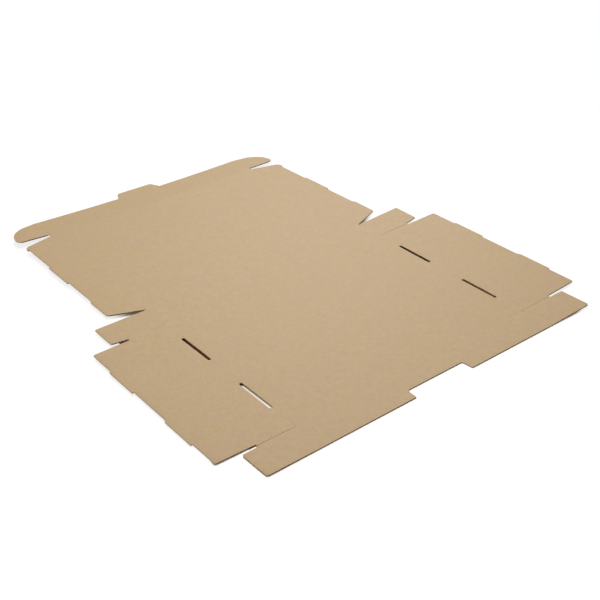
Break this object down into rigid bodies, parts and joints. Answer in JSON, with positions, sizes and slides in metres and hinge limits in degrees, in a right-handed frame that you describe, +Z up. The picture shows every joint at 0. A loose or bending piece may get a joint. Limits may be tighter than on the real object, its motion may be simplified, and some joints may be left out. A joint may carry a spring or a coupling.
{
  "type": "flattened cardboard box",
  "caption": "Unfolded die-cut mailer box of kraft corrugated board, lying flat: base, walls with end flaps, roll-over sides, lid and tuck flap joined by creases.",
  "frame": {"origin": "under the middle of the blank's outline, on the surface that it lies on", "axes": "+Y from the front wall's edge to the tuck flap's tab, +X to the right seen from the front edge, +Z up"},
  "size_m": [0.557, 0.6748, 0.0104],
  "materials": {
    "kraft_board": "matte kraft liner"
  },
  "bodies": {
    "root": {"box_blank": "kraft_board"}
  },
  "joints": []
}
